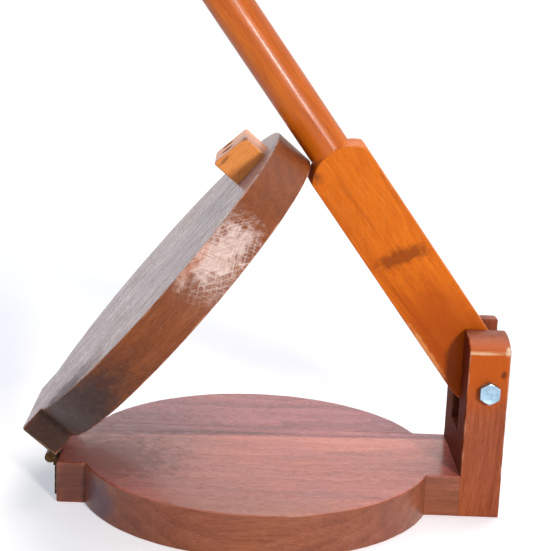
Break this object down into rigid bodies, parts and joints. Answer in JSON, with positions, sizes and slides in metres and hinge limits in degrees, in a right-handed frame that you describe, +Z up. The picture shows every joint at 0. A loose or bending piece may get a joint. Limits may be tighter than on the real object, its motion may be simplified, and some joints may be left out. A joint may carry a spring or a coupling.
{
  "type": "tortilla press",
  "caption": "Wooden press that flattens balls of dough: a round base with a forked post, a hinged round lid with a pressure block, and a lever that pivots on a bolt.",
  "frame": {"origin": "centre of the base disc's underside, on the table", "axes": "+Z up, +X from the hinge towards the lever post, +Y to the back; the view from -Y is the front"},
  "size_m": [0.3203, 0.24, 0.399],
  "materials": {
    "base_wood": "oiled",
    "post_wood": "oiled",
    "lid_wood": "oiled",
    "lever_wood": "oiled",
    "block_wood": "oiled",
    "brass": "tarnished",
    "brass_plated_steel": "satin",
    "zinc_steel": "satin"
  },
  "bodies": {
    "base": {"base_board_front": "base_wood", "base_board_back": "base_wood", "post_front_cheek": "post_wood", "post_back_cheek": "post_wood", "post_core": "post_wood", "post_screws": "brass_plated_steel", "pivot_bolt": "zinc_steel", "nut_washer": "zinc_steel", "pivot_nut": "zinc_steel", "base_hinge_leaf": "brass", "hinge_pin": "brass", "base_hinge_screws": "brass_plated_steel"},
    "lid": {"lid_board_front": "lid_wood", "lid_board_back": "lid_wood", "lid_hinge_leaf": "brass", "lid_hinge_screws": "brass_plated_steel", "pressure_block": "block_wood", "block_screws": "zinc_steel"},
    "lever": {"lever_plank": "lever_wood", "lever_handle": "lever_wood"}
  },
  "joints": [
    {"name": "lid_hinge", "type": "hinge", "parent": "base", "child": "lid", "pos_m": [-0.1356, 0, 0.0296], "axis": [0, -1, 0], "range_deg": [0, 123]},
    {"name": "lever_pivot", "type": "hinge", "parent": "base", "child": "lever", "pos_m": [0.1489, 0, 0.0868], "axis": [0, 1, 0], "range_deg": [0, 137]}
  ]
}
